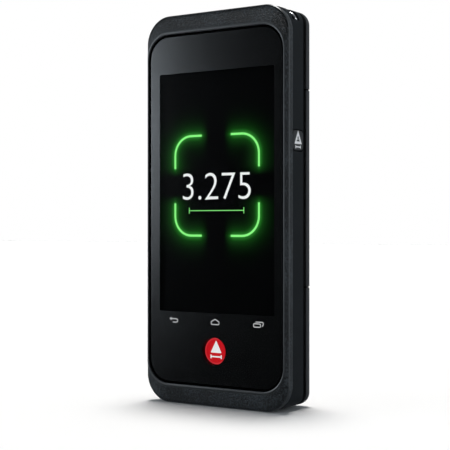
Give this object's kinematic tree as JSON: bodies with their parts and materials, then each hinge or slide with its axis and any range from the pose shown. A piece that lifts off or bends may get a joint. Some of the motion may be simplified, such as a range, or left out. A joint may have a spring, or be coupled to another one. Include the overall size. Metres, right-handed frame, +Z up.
{
  "type": "handheld laser imager",
  "caption": "Handheld imager with a glass front, a red measuring key, a side key and back plates over cameras and a laser rangefinder; stands on its flat lower end.",
  "frame": {"origin": "centre of the bounding box's lower face, on the surface the device stands on", "axes": "+Z up along the case, +Y from the glass to the back, +X to the right seen from the front"},
  "size_m": [0.0776, 0.0272, 0.1806],
  "materials": {
    "bumper": "fine-grained matt black",
    "seal": "matt",
    "cover_glass": "polished clear",
    "mask_film": "gloss black print",
    "display": "dark display stack",
    "magnesium": "cast and blasted",
    "screw_steel": "plain",
    "key_cap": "clear, polished",
    "key_red": "printed red",
    "circuit": "green solder resist",
    "spring_steel": "pressed dome",
    "housing": "satin black",
    "polished_bar": "polished",
    "side_key": "satin black",
    "power_key": "satin black",
    "flap_rubber": "matt black",
    "connector": "drawn shell",
    "copper": "bright sheet",
    "tinned_steel": "tinned",
    "bench_aluminium": "machined",
    "lens_barrel": "black anodised",
    "lens_glass": "coated",
    "window_glass": "polished",
    "flash_lens": "ribbed clear",
    "speaker": "moulded",
    "antenna": "plated plastic",
    "back_plate": "fine satin black",
    "black_screw": "black oxide",
    "battery": "wrapped",
    "contacts": "gold plated"
  },
  "bodies": {
    "case": {"front_frame": "bumper", "frame_seal": "seal", "cover_glass": "cover_glass", "border_mask": "mask_film", "display_panel": "display", "display_bracket": "magnesium", "bracket_screws": "screw_steel", "measure_key_board": "circuit", "measure_key_dome": "spring_steel", "rear_housing": "housing", "strap_bar": "polished_bar", "side_key_board": "circuit", "side_key_dome": "spring_steel", "power_key_board": "circuit", "power_key_dome": "spring_steel", "port_flap_pin": "screw_steel", "usb_connector": "connector", "port_board": "circuit", "heat_spreader": "copper", "shield_cans": "tinned_steel", "main_board": "circuit", "optical_bench": "bench_aluminium", "bench_screws": "screw_steel", "upper_camera_board": "circuit", "upper_camera_barrel": "lens_barrel", "upper_camera_lens": "lens_glass", "upper_camera_window": "window_glass", "lower_camera_board": "circuit", "lower_camera_barrel": "lens_barrel", "lower_camera_lens": "lens_glass", "lower_camera_window": "window_glass", "detector_board": "circuit", "rangefinder_chassis": "lens_barrel", "receiver_lens": "lens_glass", "laser_barrel": "bench_aluminium", "laser_lens": "lens_glass", "receiver_window": "window_glass", "laser_window": "window_glass", "flash_board": "circuit", "flash_lens": "flash_lens", "speaker": "speaker", "microphone": "tinned_steel", "antenna_carrier": "antenna", "upper_lens_plate": "back_plate", "lower_lens_plate": "back_plate", "plate_screws": "black_screw", "battery_seal": "seal", "battery_contacts": "contacts"},
    "measure_key": {"measure_key_cap": "key_cap", "measure_key_insert": "key_red"},
    "side_key": {"side_key": "side_key"},
    "power_key": {"power_key": "power_key"},
    "port_flap": {"port_flap": "flap_rubber"},
    "battery_cover": {"battery_cover": "back_plate"},
    "battery_pack": {"battery_pack": "battery"}
  },
  "joints": [
    {"name": "measure_key_press", "type": "slide", "parent": "case", "child": "measure_key", "axis": [0, 1, 0], "range_m": [0, 0.0004], "stiffness_N_per_m": 3000},
    {"name": "side_key_press", "type": "slide", "parent": "case", "child": "side_key", "axis": [-1, 0, 0], "range_m": [0, 0.0005], "stiffness_N_per_m": 3000},
    {"name": "power_key_press", "type": "slide", "parent": "case", "child": "power_key", "axis": [0, 0, -1], "range_m": [0, 0.0005], "stiffness_N_per_m": 3000},
    {"name": "port_flap_hinge", "type": "hinge", "parent": "case", "child": "port_flap", "pos_m": [-0.0356, -0.00585, 0.0403], "axis": [0, 0, 1], "range_deg": [0, 95]},
    {"name": "battery_cover_lift", "type": "slide", "parent": "case", "child": "battery_cover", "axis": [0, 1, 0], "range_m": [0, 0.04]},
    {"name": "battery_pack_lift", "type": "slide", "parent": "case", "child": "battery_pack", "axis": [0, 1, 0], "range_m": [0, 0.02]}
  ],
  "couplings": [
    {"joint": "battery_pack_lift", "follows": "battery_cover_lift", "ratio": 0.5}
  ]
}
